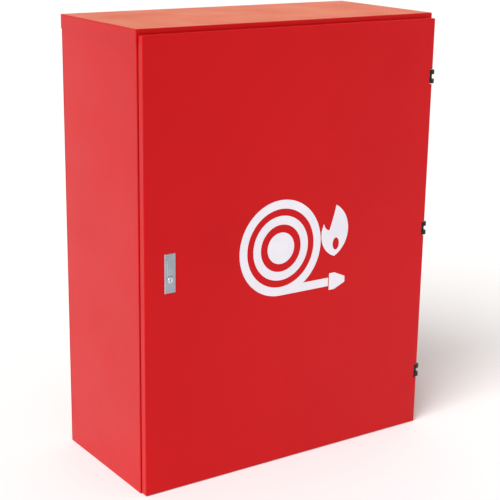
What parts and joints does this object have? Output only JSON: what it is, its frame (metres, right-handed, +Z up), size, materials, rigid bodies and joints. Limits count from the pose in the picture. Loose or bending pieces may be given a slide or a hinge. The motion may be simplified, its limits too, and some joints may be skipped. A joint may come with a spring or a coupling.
{
  "type": "fire hose reel cabinet",
  "caption": "Sheet-steel fire hose reel cabinet with an overlay hinged door, press lock, fixed hose reel, stop valve and inlet pipe.",
  "frame": {"origin": "on the floor under the middle of the casing's footprint, the door left out", "axes": "X to the right as one faces the door, -Y out of the door, +Y to the wall, +Z up"},
  "size_m": [0.7763, 0.3525, 1],
  "materials": {
    "cabinet_red": "fine textured powder coat, semi-gloss",
    "reel_red": "gloss enamel",
    "seal_foam": "matt closed-cell foam",
    "rubber_black": "matt",
    "zinc_plated_steel": "bright zinc plate",
    "bright_steel": "ground",
    "spring_steel": "oiled wire",
    "hinge_black": "satin black coat on die-cast zinc",
    "lock_satin_zinc": "satin zinc plate",
    "cylinder_chrome": "bright",
    "sign_white": "self-adhesive vinyl film",
    "brass": "as cast and turned",
    "ball_chrome": "polished",
    "lever_red": "dipped plastic coat",
    "galvanised_pipe": "galvanised",
    "nylon_white": "moulded nylon",
    "cap_black": "moulded"
  },
  "bodies": {
    "cabinet": {"back_panel": "cabinet_red", "base_panel": "cabinet_red", "frame_seal": "seal_foam", "hinge_bracket_bottom": "hinge_black", "hinge_bracket_fixings": "zinc_plated_steel", "hinge_bracket_middle": "hinge_black", "hinge_bracket_top": "hinge_black", "hinge_pins": "bright_steel", "hose_guide": "cabinet_red", "inlet_elbow": "galvanised_pipe", "left_side_panel": "cabinet_red", "mounting_bolts": "zinc_plated_steel", "pipe_grommet": "rubber_black", "reel_bracket": "cabinet_red", "right_side_panel": "cabinet_red", "riser_pipe": "galvanised_pipe", "spindle": "brass", "spindle_circlip": "bright_steel", "spindle_nut": "zinc_plated_steel", "strike_plate": "zinc_plated_steel", "thrust_washer": "zinc_plated_steel", "top_cap": "cabinet_red", "valve_body": "brass"},
    "door": {"bolt_spring": "spring_steel", "cylinder_barrel": "cylinder_chrome", "door_panel": "cabinet_red", "door_sign": "sign_white", "door_stiffener_left": "cabinet_red", "door_stiffener_right": "cabinet_red", "hinge_knuckle_bottom": "hinge_black", "hinge_knuckle_fixings": "zinc_plated_steel", "hinge_knuckle_middle": "hinge_black", "hinge_knuckle_top": "hinge_black", "latch_case": "lock_satin_zinc", "latch_case_cover": "zinc_plated_steel", "lock_clamp": "zinc_plated_steel", "lock_housing": "lock_satin_zinc", "lock_screws": "zinc_plated_steel", "paddle_pin": "bright_steel", "paddle_spring": "spring_steel"},
    "paddle": {"lock_paddle": "lock_satin_zinc"},
    "latch_bolt": {"latch_bolt": "lock_satin_zinc"},
    "key_plug": {"cam_screw": "zinc_plated_steel", "key_plug": "cylinder_chrome", "lock_cam": "zinc_plated_steel"},
    "reel": {"disc_tie_rods": "zinc_plated_steel", "drum_barrel": "reel_red", "front_disc": "reel_red", "hose_tail": "brass", "hub_bolts": "zinc_plated_steel", "hub_cap": "cap_black", "rear_bush": "nylon_white", "rear_disc": "reel_red", "swivel_hub": "brass", "swivel_seals": "rubber_black"},
    "valve_handle": {"lever_nut": "zinc_plated_steel", "valve_ball": "ball_chrome", "valve_lever": "lever_red", "valve_stem": "brass"}
  },
  "joints": [
    {"name": "door_hinge", "type": "hinge", "parent": "cabinet", "child": "door", "pos_m": [0.3815, -0.176, 0.5], "axis": [0, 0, 1], "range_deg": [0, 170]},
    {"name": "bolt_slide", "type": "slide", "parent": "door", "child": "latch_bolt", "axis": [1, 0, 0], "range_m": [0, 0.0075], "stiffness_N_per_m": 250, "springref_m": -0.01, "deforming": ["bolt_spring"]},
    {"name": "paddle_press", "type": "hinge", "parent": "door", "child": "paddle", "pos_m": [-0.321, -0.1795, 0.5205], "axis": [1, 0, 0], "range_deg": [0, 12], "stiffness_Nm_per_rad": 0.1, "springref_deg": -11.46, "deforming": ["paddle_spring"]},
    {"name": "key_turn", "type": "hinge", "parent": "door", "child": "key_plug", "pos_m": [-0.321, -0.1869, 0.4805], "axis": [0, -1, 0], "range_deg": [0, 90]},
    {"name": "reel_spin", "type": "hinge", "parent": "cabinet", "child": "reel", "pos_m": [0, 0, 0.62], "axis": [0, -1, 0], "continuous": true},
    {"name": "valve_turn", "type": "hinge", "parent": "cabinet", "child": "valve_handle", "pos_m": [0, 0.139, 0.19], "axis": [0, 1, 0], "range_deg": [0, 90]}
  ],
  "couplings": [
    {"joint": "paddle_press", "follows": "bolt_slide", "rad_per_m": 27.92}
  ]
}
